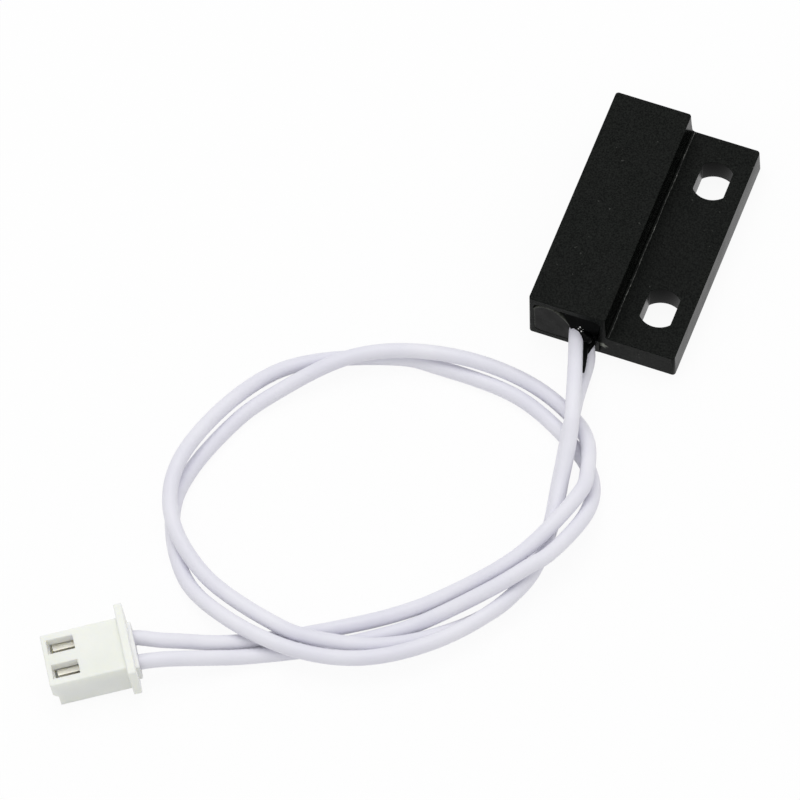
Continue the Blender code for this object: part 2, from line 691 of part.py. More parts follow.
def channel(half_width, bottom, top):
    """Open trough section."""
    wall = [(half_width, top + (bottom - top) * part) for part in (0.0, 0.2, 0.4, 0.6, 0.8)]
    low = [(half_width, bottom), (half_width * 0.67, bottom), (half_width * 0.33, bottom)]
    right = wall + low
    return [(-y, z) for y, z in right] + [(0.0, bottom)] + list(reversed(right))


def rolled(radius):
    """Crimped barrel section with a seam along its top."""
    reach = math.pi - CRIMP_SEAM / 2
    angles = [reach * (i - 8) / 8 for i in range(17)]
    return [(radius * math.sin(angle), -radius * math.cos(angle)) for angle in angles]


def make_contact(name, side, parts):
    core = CONDUCTOR_DIAMETER / 2 + CRIMP_CLEARANCE
    cover = WIRE_DIAMETER / 2 + CRIMP_CLEARANCE
    half_width = SOCKET_WIDTH / 2 - SHEET
    half_height = SOCKET_HEIGHT / 2 - SHEET
    front = -NOSE_WALL - CONTACT_SETBACK
    socket_end = front - SOCKET_LENGTH
    core_start = socket_end - NECK_LENGTH
    core_end = core_start - CORE_CRIMP_LENGTH
    cover_start = core_end - NECK_LENGTH
    cover_end = cover_start - COVER_CRIMP_LENGTH
    stations = [
        (cover_end, rolled(cover)),
        (cover_start, rolled(cover)),
        ((cover_start + core_end) / 2, channel((core + cover) / 2, -(core + cover) / 2, -0.1 * MM)),
        (core_end, rolled(core)),
        (core_start, rolled(core)),
        ((core_start + socket_end) / 2, channel(half_width * 0.85, -half_height * 0.9, -0.1 * MM)),
        (socket_end, folded(half_width, -half_height, half_height, SOCKET_SEAM)),
        (front, folded(half_width, -half_height, half_height, SOCKET_SEAM)),
    ]
    middle = side * PLUG_PITCH / 2
    rings = [[(x, middle + y, PLUG_AXIS_HEIGHT + z) for y, z in outline] for x, outline in stations]
    contact = place(loft(rings, False), name, parts, closed=False)
    contact.data.transform(PLUG_FRAME)
    sheet = contact.modifiers.new("sheet", "SOLIDIFY")
    sheet.thickness = SHEET
    sheet.offset = 1.0
    sheet.use_even_offset = True
    sheet.use_rim = True
    return contact


def main():
    for thing in list(bpy.data.objects):
        bpy.data.objects.remove(thing)
    parts = bpy.data.collections.new("flange_mount_reed_sensor")
    cutters = bpy.data.collections.new("cutters")
    bpy.context.scene.collection.children.link(parts)
    bpy.context.scene.collection.children.link(cutters)

    black_plastic = material("black_plastic", (0.012, 0.012, 0.013), 0.55)
    black_epoxy = material("black_epoxy", (0.01, 0.01, 0.011), 0.15)
    glass = material("glass", (0.75, 0.85, 0.82), 0.05, transmission=0.9)
    reed_metal = material("reed_metal", (0.55, 0.53, 0.5), 0.3, metallic=1.0)
    solder = material("solder", (0.62, 0.62, 0.64), 0.3, metallic=1.0)
    white_cover = material("white_cover", (0.85, 0.84, 0.88), 0.45)
    tinned_copper = material("tinned_copper", (0.7, 0.68, 0.66), 0.3, metallic=1.0)
    white_nylon = material("white_nylon", (0.84, 0.84, 0.78), 0.5)
    tinned_brass = material("tinned_brass", (0.72, 0.66, 0.5), 0.3, metallic=1.0)

    wires = [
        centreline(near_inner_route(), LAY_1, -PLUG_PITCH / 2),
        centreline(far_inner_route(), LAY_2, PLUG_PITCH / 2),
    ]
    surfaces = [
        (make_housing(parts, cutters), black_plastic),
        (make_potting(wires, parts, cutters), black_epoxy),
        (make_glass(parts), glass),
        (make_reed("reed_near", -1, parts), reed_metal),
        (make_reed("reed_far", 1, parts), reed_metal),
        (make_joint("solder_near", -1, wires[0], parts, cutters), solder),
        (make_joint("solder_far", 1, wires[1], parts, cutters), solder),
        (make_plug(parts, cutters), white_nylon),
        (make_contact("contact_1", -1, parts), tinned_brass),
        (make_contact("contact_2", 1, parts), tinned_brass),
    ]
    for number, wire in enumerate(wires, start=1):
        insulation, conductor = make_wire(number, wire, parts)
        surfaces += [(insulation, white_cover), (conductor, tinned_copper)]
    for thing, surface in surfaces:
        thing.data.materials.clear()
        thing.data.materials.append(surface)


main()
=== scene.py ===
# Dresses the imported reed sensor: fine moulded shapes, wires, resin and plug, in the frame's metres.
import math

import bpy
import numpy as np
from mathutils import Matrix, Vector


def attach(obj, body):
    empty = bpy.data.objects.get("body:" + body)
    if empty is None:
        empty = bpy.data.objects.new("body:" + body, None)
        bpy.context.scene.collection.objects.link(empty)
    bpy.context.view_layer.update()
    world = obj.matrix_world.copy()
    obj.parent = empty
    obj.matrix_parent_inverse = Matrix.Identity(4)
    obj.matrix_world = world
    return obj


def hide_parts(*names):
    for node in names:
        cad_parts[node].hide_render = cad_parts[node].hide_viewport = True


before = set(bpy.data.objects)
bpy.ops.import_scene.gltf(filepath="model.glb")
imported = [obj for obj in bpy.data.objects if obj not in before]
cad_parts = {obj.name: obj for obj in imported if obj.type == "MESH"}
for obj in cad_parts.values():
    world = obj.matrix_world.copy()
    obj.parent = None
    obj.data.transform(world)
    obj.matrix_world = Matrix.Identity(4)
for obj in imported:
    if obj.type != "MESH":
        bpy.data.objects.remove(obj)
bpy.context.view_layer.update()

MM = 0.001
HAIR = 0.01 * MM


# Camera at the photograph's angle, a long lens rolled a few degrees
CAMERA_AZIMUTH = math.radians(25.35)
CAMERA_ELEVATION = math.radians(61.24)
CAMERA_ROLL = math.radians(-5.05)
CAMERA_DISTANCE = 0.73559
CAMERA_RIGHT, CAMERA_UP = -0.022667, -0.013983
FRAMING = Vector((0.00007, 0.00006, 0.0))


def place_camera():
    back = Vector((
        math.sin(CAMERA_AZIMUTH) * math.cos(CAMERA_ELEVATION),
        -math.cos(CAMERA_AZIMUTH) * math.cos(CAMERA_ELEVATION),
        math.sin(CAMERA_ELEVATION),
    ))
    level = Vector((math.cos(CAMERA_AZIMUTH), math.sin(CAMERA_AZIMUTH), 0.0))
    upright = back.cross(level)
    right = math.cos(CAMERA_ROLL) * level + math.sin(CAMERA_ROLL) * upright
    up = -math.sin(CAMERA_ROLL) * level + math.cos(CAMERA_ROLL) * upright
    camera = bpy.data.cameras.new("camera")
    camera.lens = 360.0
    camera.sensor_width = 36.0
    camera.clip_start = 0.01
    camera.clip_end = 20.0
    holder = bpy.data.objects.new("camera", camera)
    bpy.context.scene.collection.objects.link(holder)
    turned = Matrix((right, up, back)).transposed().to_4x4()
    turned.translation = FRAMING + CAMERA_RIGHT * right + CAMERA_UP * up + CAMERA_DISTANCE * back
    holder.matrix_world = turned
    bpy.context.scene.camera = holder


place_camera()


# Small helpers for modelling with operators
def only(piece):
    if bpy.context.mode != "OBJECT":
        bpy.ops.object.mode_set(mode="OBJECT")
    bpy.ops.object.select_all(action="DESELECT")
    bpy.context.view_layer.objects.active = piece
    piece.select_set(True)


def block(name, low, high):
    bpy.ops.object.select_all(action="DESELECT")
    low, high = Vector(low), Vector(high)
    bpy.ops.mesh.primitive_cube_add(size=1.0, location=(low + high) / 2)
    piece = bpy.context.object
    piece.name = name
    piece.data.name = name
    piece.scale = high - low
    bpy.ops.object.transform_apply(location=True, rotation=True, scale=True)
    return piece


def start_picking(piece, kind):
    """Selects nothing of the piece, ready for points, edges or faces to be chosen one by one."""
    only(piece)
    bpy.ops.object.mode_set(mode="EDIT")
    bpy.ops.mesh.select_mode(type=kind)
    bpy.ops.mesh.select_all(action="DESELECT")
    bpy.ops.object.mode_set(mode="OBJECT")


def pick_edges(piece, chosen):
    start_picking(piece, "EDGE")
    points = piece.data.vertices
    for edge in piece.data.edges:
        edge.select = chosen(points[edge.vertices[0]].co, points[edge.vertices[1]].co)
    bpy.ops.object.mode_set(mode="EDIT")


def pick_points(piece, chosen):
    start_picking(piece, "VERT")
    for point in piece.data.vertices:
        point.select = chosen(point.co)
    bpy.ops.object.mode_set(mode="EDIT")


def pick_faces(piece, chosen):
    start_picking(piece, "FACE")
    for face in piece.data.polygons:
        face.select = chosen(face.center, face.normal)
    bpy.ops.object.mode_set(mode="EDIT")


def nudge(piece, chosen, shift):
    pick_points(piece, chosen)
    bpy.ops.transform.translate(value=shift)
    bpy.ops.object.mode_set(mode="OBJECT")


def bevel_picked(width, segments):
    bpy.ops.mesh.bevel(
        offset=width, offset_type="OFFSET", segments=segments, profile=0.5, affect="EDGES"
    )
    bpy.ops.object.mode_set(mode="OBJECT")


def along(axis):
    """Test for edges that run along one axis."""
    def test(a, b):
        way = (b - a).normalized()
        return abs(way[axis]) > 0.99
    return test


def bevel_sharp(piece, width, segments):
    start_picking(piece, "EDGE")
    bpy.ops.object.mode_set(mode="EDIT")
    bpy.ops.mesh.edges_select_sharp(sharpness=math.radians(40))
    bevel_picked(width, segments)


def apply_modifier(piece, name, kind, **settings):
    only(piece)
    modifier = piece.modifiers.new(name, kind)
    for setting, value in settings.items():
        setattr(modifier, setting, value)
    bpy.ops.object.modifier_apply(modifier=modifier.name)


def boolean(piece, tool, operation="DIFFERENCE"):
    """Cuts the tool from the piece, or joins or keeps what they share, and throws the tool away."""
    apply_modifier(piece, "boolean", "BOOLEAN", operation=operation, solver="EXACT", object=tool)
    bpy.data.objects.remove(tool)


def join_as(name, parts):
    bpy.ops.object.select_all(action="DESELECT")
    for part in parts:
        part.select_set(True)
    bpy.context.view_layer.objects.active = parts[0]
    bpy.ops.object.join()
    whole = bpy.context.object
    whole.name = whole.data.name = name
    bpy.ops.object.transform_apply(location=True, rotation=True, scale=True)
    return whole


def ball(subdivisions, radius, place):
    bpy.ops.object.select_all(action="DESELECT")
    bpy.ops.mesh.primitive_ico_sphere_add(subdivisions=subdivisions, radius=radius, location=place)
    return bpy.context.object


def upright_sheet(name, columns, rows, middle, width, height):
    """Finely divided sheet that stands level with the housing's near face."""
    bpy.ops.object.select_all(action="DESELECT")
    bpy.ops.mesh.primitive_grid_add(
        x_subdivisions=columns,
        y_subdivisions=rows,
        size=1.0,
        location=middle,
        rotation=(math.radians(90), 0.0, 0.0),
    )
    sheet = bpy.context.object
    sheet.name = sheet.data.name = name
    sheet.scale = (width, height, 1.0)
    bpy.ops.object.transform_apply(location=True, rotation=True, scale=True)
    return sheet


def tidy(piece, smooth_angle=35, weighted=False):
    only(piece)
    bpy.ops.object.mode_set(mode="EDIT")
    bpy.ops.mesh.select_all(action="SELECT")
    bpy.ops.mesh.remove_doubles(threshold=0.000001)
    bpy.ops.mesh.normals_make_consistent(inside=False)
    bpy.ops.object.mode_set(mode="OBJECT")
    bpy.ops.object.shade_smooth_by_angle(angle=math.radians(smooth_angle))
    if weighted:
        apply_modifier(piece, "even shading", "WEIGHTED_NORMAL", keep_sharp=True)


def dress(piece, surface):
    piece.data.materials.clear()
    piece.data.materials.append(surface)
    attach(piece, "root")


# Materials
def new_surface(name):
    surface = bpy.data.materials.new(name)
    surface.use_nodes = True
    tree = surface.node_tree
    return surface, tree.nodes, tree.links, tree.nodes["Principled BSDF"]


def fixed(shader, settings):
    """Values that are the same all over the surface, set on the shader's own sockets."""
    for socket, value in settings.items():
        shader.inputs[socket].default_value = value


def noise(nodes, links, scale, detail, roughness, vector):
    texture = nodes.new("ShaderNodeTexNoise")
    fixed(texture, {"Scale": scale, "Detail": detail, "Roughness": roughness})
    links.new(vector, texture.inputs["Vector"])
    return texture.outputs["Fac"]


def ramp(nodes, links, fac, stops):
    node = nodes.new("ShaderNodeValToRGB")
    links.new(fac, node.inputs["Fac"])
    first, last = node.color_ramp.elements
    first.position, first.color = stops[0][0], (*stops[0][1], 1.0)
    last.position, last.color = stops[-1][0], (*stops[-1][1], 1.0)
    for position, colour in stops[1:-1]:
        node.color_ramp.elements.new(position).color = (*colour, 1.0)
    return node.outputs["Color"]


def spread(nodes, links, fac, low, high):
    """Stretches the middle of a noise's range over the values from low to high."""
    node = nodes.new("ShaderNodeMapRange")
    fixed(node, {"From Min": 0.3, "From Max": 0.7, "To Min": low, "To Max": high})
    links.new(fac, node.inputs["Value"])
    return node.outputs["Result"]


def mixed(nodes, links, under, over):
    node = nodes.new("ShaderNodeMix")
    node.data_type = "RGBA"
    links.new(under, node.inputs["A"])
    links.new(over, node.inputs["B"])
    return node


def bump(nodes, links, shader, height, distance, strength):
    node = nodes.new("ShaderNodeBump")
    fixed(node, {"Distance": distance, "Strength": strength})
    links.new(height, node.inputs["Height"])
    links.new(node.outputs["Normal"], shader.inputs["Normal"])


def place_of(nodes):
    return nodes.new("ShaderNodeTexCoord").outputs["Object"]


def moulded_black(name, pale_grain, rough_low, rough_high, grain_strength):
    """Matte black moulding with a fine grain and a few pale dust specks."""
    surface, nodes, links, shader = new_surface(name)
    where = place_of(nodes)
    grain = noise(nodes, links, 7000, 3, 0.6, where)
    cloud = noise(nodes, links, 350, 4, 0.55, where)
    specks = noise(nodes, links, 2600, 1, 0.4, where)
    colour = ramp(nodes, links, grain, [(0.36, (0.0006, 0.001, 0.0008)), (0.64, pale_grain)])
    dust = ramp(nodes, links, specks, [(0.775, (0.0, 0.0, 0.0)), (0.8, (0.035, 0.035, 0.033))])
    add = mixed(nodes, links, colour, dust)
    add.blend_type = "ADD"
    add.inputs["Factor"].default_value = 1.0
    links.new(add.outputs["Result"], shader.inputs["Base Color"])
    links.new(spread(nodes, links, cloud, rough_low, rough_high), shader.inputs["Roughness"])
    fixed(shader, {"Specular IOR Level": 0.05})
    bump(nodes, links, shader, grain, 0.00003, grain_strength)
    return surface


def painted_highlight_black():
    """Black plastic with pale patches that are a painted highlight, on the raised line at the step's foot.
    """
    surface, nodes, links, shader = new_surface("painted_highlight_black")
    where = place_of(nodes)
    patches = noise(nodes, links, 2300, 3, 0.6, where)
    # Painted highlight: the pale colours stand in for the light caught along the step's foot.
    colour = ramp(nodes, links, patches, [
        (0.36, (0.01, 0.01, 0.01)), (0.55, (0.06, 0.062, 0.058)), (0.72, (0.24, 0.24, 0.22)),
    ])
    links.new(colour, shader.inputs["Base Color"])
    links.new(spread(nodes, links, patches, 0.5, 0.35), shader.inputs["Roughness"])
    fixed(shader, {"Specular IOR Level": 0.3})
    return surface


def cast_resin():
    """Glossy black resin with shallow flow ripples, greyed where the pale attribute says: painted highlight
    along the fill's ridge and outer edge, and the smear's own grey.
    """
    surface, nodes, links, shader = new_surface("cast_resin")
    where = place_of(nodes)
    flow = noise(nodes, links, 450, 3, 0.5, where)
    fine = noise(nodes, links, 2500, 2, 0.5, where)
    deep = [(0.3, (0.0006, 0.0008, 0.0007)), (0.75, (0.0022, 0.0026, 0.0022))]
    colour = ramp(nodes, links, flow, deep)
    # Grey skin: a painted highlight along the fill's ridge and outer edge, and the real grey of the wiped
    # smear.
    highlight_and_smear_grey = ramp(nodes, links, fine, [(0.3, (0.05, 0.055, 0.045)), (0.7, (0.3, 0.315, 0.27))])
    highlight_and_smear_share = nodes.new("ShaderNodeAttribute")
    highlight_and_smear_share.attribute_name = "pale"
    skin = mixed(nodes, links, colour, highlight_and_smear_grey)
    links.new(highlight_and_smear_share.outputs["Fac"], skin.inputs["Factor"])
    links.new(skin.outputs["Result"], shader.inputs["Base Color"])
    links.new(spread(nodes, links, fine, 0.26, 0.4), shader.inputs["Roughness"])
    fixed(shader, {"Specular IOR Level": 0.06})
    bump(nodes, links, shader, flow, 0.00004, 0.4)
    return surface


def painted_glint_white():
    """Small white balls on the resin that are painted glints, the points where its skin catches the light.
    """
    surface, nodes, links, shader = new_surface("painted_glint_white")
    where = place_of(nodes)
    tone = noise(nodes, links, 9000, 2, 0.5, where)
    colour = ramp(nodes, links, tone, [(0.3, (0.75, 0.76, 0.74)), (0.7, (0.93, 0.93, 0.92))])
    links.new(colour, shader.inputs["Base Color"])
    links.new(spread(nodes, links, tone, 0.1, 0.25), shader.inputs["Roughness"])
    return surface


def wire_cover():
    """Satin white cable cover with a faint violet cast and a fine grain."""
    surface, nodes, links, shader = new_surface("wire_cover")
    where = place_of(nodes)
    tone = noise(nodes, links, 160, 3, 0.5, where)
    fine = noise(nodes, links, 5200, 2, 0.6, where)
    colour = ramp(nodes, links, tone, [(0.3, (0.76, 0.755, 0.835)), (0.7, (0.83, 0.825, 0.885))])
    links.new(colour, shader.inputs["Base Color"])
    links.new(spread(nodes, links, fine, 0.4, 0.52), shader.inputs["Roughness"])
    fixed(shader, {
        "Specular IOR Level": 0.35,
        "Subsurface Weight": 0.12,
        "Subsurface Radius": (0.0006, 0.00055, 0.0006),
        "Subsurface Scale": 1.0,
    })
    bump(nodes, links, shader, fine, 0.000012, 0.3)
    return surface


def ivory_nylon(name, low, high):
    """Unfilled nylon, slightly translucent, with a soft moulded skin."""
    surface, nodes, links, shader = new_surface(name)
    where = place_of(nodes)
    tone = noise(nodes, links, 260, 3, 0.5, where)
    fine = noise(nodes, links, 4200, 2, 0.6, where)
    colour = ramp(nodes, links, tone, [(0.3, low), (0.7, high)])
    links.new(colour, shader.inputs["Base Color"])
    links.new(spread(nodes, links, fine, 0.42, 0.55), shader.inputs["Roughness"])
    fixed(shader, {
        "Specular IOR Level": 0.4,
        "Subsurface Weight": 0.45,
        "Subsurface Radius": (0.0009, 0.00085, 0.00065),
        "Subsurface Scale": 1.0,
    })
    bump(nodes, links, shader, fine, 0.000015, 0.3)
    return surface


def metal(name, low, high, rough_low, rough_high, scale):
    """Bare or tinned metal with faint drawing marks."""
    surface, nodes, links, shader = new_surface(name)
    where = place_of(nodes)
    tone = noise(nodes, links, scale, 4, 0.6, where)
    links.new(ramp(nodes, links, tone, [(0.3, low), (0.7, high)]), shader.inputs["Base Color"])
    links.new(spread(nodes, links, tone, rough_low, rough_high), shader.inputs["Roughness"])
    fixed(shader, {"Metallic": 1.0})
    bump(nodes, links, shader, tone, 0.00001, 0.3)
    return surface


def capsule_glass():
    """Faintly green lead-free glass with slight waviness from the sealing flame."""
    surface, nodes, links, shader = new_surface("capsule_glass")
    where = place_of(nodes)
    wave = noise(nodes, links, 500, 2, 0.4, where)
    colour = ramp(nodes, links, wave, [(0.3, (0.8, 0.9, 0.86)), (0.7, (0.87, 0.94, 0.91))])
    links.new(colour, shader.inputs["Base Color"])
    links.new(spread(nodes, links, wave, 0.02, 0.06), shader.inputs["Roughness"])
    fixed(shader, {"Transmission Weight": 0.95, "IOR": 1.5})
    bump(nodes, links, shader, wave, 0.00002, 0.2)
    return surface


black = moulded_black("spark_eroded_black", (0.0115, 0.013, 0.0115), 0.38, 0.5, 0.6)
# Copy of the black moulding for the upright walls: its smoother finish is real, its darker colour is
# painted shade.
drawn_black_painted_shade = moulded_black("drawn_black_painted_shade", (0.004, 0.0046, 0.004), 0.18, 0.28, 0.2)
# Painted highlight for the line at the step's foot.
step_line_highlight_paint = painted_highlight_black()
# Painted glints on the resin.
glint_paint = painted_glint_white()
resin = cast_resin()
cover = wire_cover()
nylon = ivory_nylon("ivory_nylon", (0.83, 0.85, 0.79), (0.875, 0.89, 0.84))
# Paler copy of the nylon for the cavity walls: painted glow, standing in for light that shines through the
# thin walls.
nylon_with_painted_glow = ivory_nylon("nylon_in_windows_painted_glow", (0.955, 0.96, 0.915), (0.98, 0.982, 0.95))
reed_metal = metal("nickel_iron", (0.48, 0.46, 0.42), (0.62, 0.6, 0.56), 0.22, 0.38, 1800)
solder = metal("bright_solder", (0.55, 0.55, 0.56), (0.68, 0.68, 0.69), 0.15, 0.32, 900)
strand = metal("tinned_strand", (0.6, 0.57, 0.53), (0.72, 0.7, 0.67), 0.25, 0.4, 2500)
brass = metal("tinned_brass", (0.9, 0.88, 0.8), (0.96, 0.95, 0.89), 0.35, 0.55, 1500)
glass = capsule_glass()

# Wires: the route's points in millimetres, from each soldered joint to its crimp contact
ROUTES = {
    1: [
        (-3.85, -4.94, 2.925), (-3.85, -6.46, 2.925), (-3.318, -8.596, 2.874), (-2.634, -10.465, 2.809),
        (-2.33, -11.8, 2.78), (-1.63, -13.84, 3.29), (-0.83, -16.14, 4.08), (0.77, -21.24, 4.72),
        (1.17, -22.94, 4.02), (1.67, -26.44, 2.8), (2.37, -31.14, 2.29), (2.17, -37.04, 2.21),
        (-1.93, -43.94, 2.22), (-8.23, -49.04, 2.53), (-14.43, -50.54, 2.47), (-21.93, -49.44, 2.05),
        (-27.43, -46.14, 0.7), (-30.93, -39.24, 0.7), (-28.83, -30.04, 0.7), (-26.13, -25.94, 1.18),
        (-21.33, -21.14, 2.17), (-16.73, -18.74, 2.35), (-10.43, -17.34, 1.96), (-4.63, -17.44, 1.03),
        (-0.23, -19.14, 0.81), (2.37, -21.74, 2.03), (3.77, -25.64, 3.1), (3.97, -27.24, 3.65),
        (0.97, -35.34, 3.61), (-4.13, -40.44, 1.65), (-7.93, -43.44, 0.84), (-15.03, -48.04, 0.7),
        (-19.93, -50.64, 0.8), (-22.53, -51.94, 1.3), (-24.73, -52.94, 2), (-26.53, -53.74, 2.5),
        (-28.733, -54.347, 2.657), (-29.405, -54.778, 2.601), (-30.58, -55.533, 2.503),
        (-32.259, -56.61, 2.364),
    ],
    2: [
        (-3.85, 9.86, 2.925), (-3.85, 8.34, 2.925), (-2.648, 6.93, 2.324), (-2.13, 5.52, 2.065),
        (-2, 2.7, 2), (-2, -3.8, 2), (-1.732, -8.6, 1.88), (-1.33, -11.8, 1.7),
        (-0.63, -13.54, 1.58), (0.17, -18.84, 2.95), (1.17, -25.64, 1.34), (1.97, -30.44, 0.7),
        (2.07, -32.34, 0.7), (1.27, -37.84, 0.7), (-0.63, -41.14, 0.7), (-4.93, -45.24, 1.17),
        (-8.83, -47.64, 1.95), (-14.63, -48.94, 2.42), (-16.93, -48.74, 2.25), (-25.53, -45.84, 1.67),
        (-30.33, -41.54, 2.47), (-31.63, -35.64, 2.39), (-26.93, -23.84, 1), (-17.03, -18.74, 0.7),
        (-13.43, -18.44, 0.7), (-5.03, -19.04, 0.7), (1.97, -22.64, 0.7), (3.97, -24.84, 0.7),
        (4.97, -29.14, 2.76), (3.37, -34.74, 3.81), (2.47, -36.04, 3.96), (-0.23, -39.14, 3.18),
        (-6.83, -44.64, 0.72), (-11.53, -47.94, 0.7), (-19.13, -52.04, 0.95), (-21.73, -53.44, 1.6),
        (-24.03, -54.64, 2.2), (-25.53, -55.44, 2.55), (-27.383, -56.451, 2.657), (-28.054, -56.882, 2.601),
        (-29.229, -57.636, 2.503), (-30.908, -58.714, 2.364),
    ],
}
WIRE = 1.4 * MM
CORE = 0.6 * MM
ROOM_ROUND_CORE = 0.08 * MM
STRIP_AT_JOINT = 2.9 * MM
STRIP_AT_PLUG = 1.75 * MM


def smooth_line(points):
    """Smooth curve through the points, finely sampled, never lower than a wire on the floor."""
    knots = [np.array(point) * MM for point in points]
    knots = [2 * knots[0] - knots[1], *knots, 2 * knots[-1] - knots[-2]]
    fine = []
    for i in range(1, len(knots) - 2):
        four = knots[i - 1:i + 3]
        t = [0.0]
        for here, there in zip(four, four[1:]):
            t.append(t[-1] + math.sqrt(np.linalg.norm(there - here)))
        for u in np.linspace(t[1], t[2], 24, endpoint=False):
            a = [
                ((t[k + 1] - u) * four[k] + (u - t[k]) * four[k + 1]) / (t[k + 1] - t[k])
                for k in range(3)
            ]
            b = [
                ((t[k + 2] - u) * a[k] + (u - t[k]) * a[k + 1]) / (t[k + 2] - t[k])
                for k in range(2)
            ]
            fine.append(((t[2] - u) * b[0] + (u - t[1]) * b[1]) / (t[2] - t[1]))
    fine.append(knots[-2])
    fine = np.array(fine)
    fine[:, 2] = np.maximum(fine[:, 2], WIRE / 2 + HAIR)
    return fine


def stretch(fine, start, stop, step):
    """Evenly spaced points on a line, from start past its one end to stop before its other."""
    run = np.concatenate([[0.0], np.cumsum(np.linalg.norm(np.diff(fine, axis=0), axis=1))])
    count = int(round((run[-1] - start - stop) / step))
    spots = np.linspace(start, run[-1] - stop, count + 1)
    return [Vector([float(np.interp(spot, run, fine[:, k])) for k in range(3)]) for spot in spots]


def tube(name, points, radius, resolution, capped):
    curve = bpy.data.curves.new(name, "CURVE")
    curve.dimensions = "3D"
    spline = curve.splines.new("POLY")
    spline.points.add(len(points) - 1)
    for spot, where in zip(spline.points, points):
        spot.co = (*where, 1.0)
    curve.bevel_depth = radius
    curve.bevel_resolution = resolution
    curve.use_fill_caps = capped
    piece = bpy.data.objects.new(name, curve)
    bpy.context.scene.collection.objects.link(piece)
    only(piece)
    bpy.ops.object.convert(target="MESH")
    return bpy.context.object


def lay_wire(number, exit_point):
    """One wire's hollow cover and its strands, with the cover's route and length."""
    line = smooth_line(ROUTES[number])
    run = stretch(line, STRIP_AT_JOINT, STRIP_AT_PLUG, WIRE / 2)
    sleeve = tube(f"wire_{number}_cover", run, WIRE / 2, 6, False)
    apply_modifier(
        sleeve, "wall", "SOLIDIFY",
        thickness=(WIRE - CORE) / 2 - ROOM_ROUND_CORE, offset=-1.0, use_rim=True, use_even_offset=True,
    )
    only(sleeve)
    bpy.ops.object.shade_smooth_by_angle(angle=math.radians(40))
    dress(sleeve, cover)
    core = tube(f"wire_{number}_strands", stretch(line, 0.0, 0.0, WIRE / 2), CORE / 2, 3, True)
    tidy(core)
    dress(core, strand)
    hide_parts(f"wire_{number}_insulation")
    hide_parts(f"wire_{number}_conductor")
    length = sum((b - a).length for a, b in zip(run, run[1:]))
    return sleeve, core, run, length, exit_point


wires = [lay_wire(1, (-0.00233, -0.0118, 0.00278)), lay_wire(2, (-0.00133, -0.0118, 0.0017))]

# Housing: block and flange in one moulding, with drafted walls
LEFT, RIGHT = -7.1 * MM, 7.1 * MM
NEAR, FAR = -11.7 * MM, 11.7 * MM
STEP_X = 0.45 * MM
FLANGE = 2.9 * MM
HEIGHT = 5.9 * MM
DRAFT = math.tan(math.radians(1.0))
SLOT_X = 4.01 * MM
SLOTS_Y = (-7.0 * MM, 7.2 * MM)
SLOT_RADIUS = 2.0 * MM
SLOT_HALF_WIDTH = 1.48 * MM
SLOT_TAPER = (1.11, 1.085)
POCKET_LOW = Vector((-6.55, -11.7, 0.65)) * MM
POCKET_HIGH = Vector((-0.1, 10.5, 5.2)) * MM


def slot_punch(middle_y):
    """Tool for one slot: a cylinder with two flats, wider towards the underside."""
    bpy.ops.object.select_all(action="DESELECT")
    bpy.ops.mesh.primitive_cylinder_add(
        vertices=96,
        radius=SLOT_RADIUS,
        depth=FLANGE,
        location=(SLOT_X, middle_y, FLANGE / 2),
    )
    punch = bpy.context.object
    bpy.ops.object.transform_apply(location=True, rotation=True, scale=True)
    reach = Vector((SLOT_HALF_WIDTH, 3 * MM, 3 * MM))
    middle = Vector((SLOT_X, middle_y, FLANGE / 2))
    boolean(punch, block("flats", middle - reach, middle + reach), "INTERSECT")

    def on_flat(at):
        return abs(abs(at.x - SLOT_X) - SLOT_HALF_WIDTH) < 0.1 * HAIR

    pick_edges(punch, lambda a, b: along(2)(a, b) and on_flat(a))
    bevel_picked(0.06 * MM, 3)
    pick_points(punch, lambda at: at.z < HAIR)
    bpy.ops.transform.resize(value=(*SLOT_TAPER, 1.0), center_override=(SLOT_X, middle_y, 0.0))
    bpy.ops.object.mode_set(mode="OBJECT")
    for way in (-1, 1):
        pick_faces(punch, lambda centre, normal: normal.z * way > 0.9)
        bpy.ops.mesh.extrude_region_move(TRANSFORM_OT_translate={"value": (0.0, 0.0, way * MM)})
        bpy.ops.object.mode_set(mode="OBJECT")
    return punch


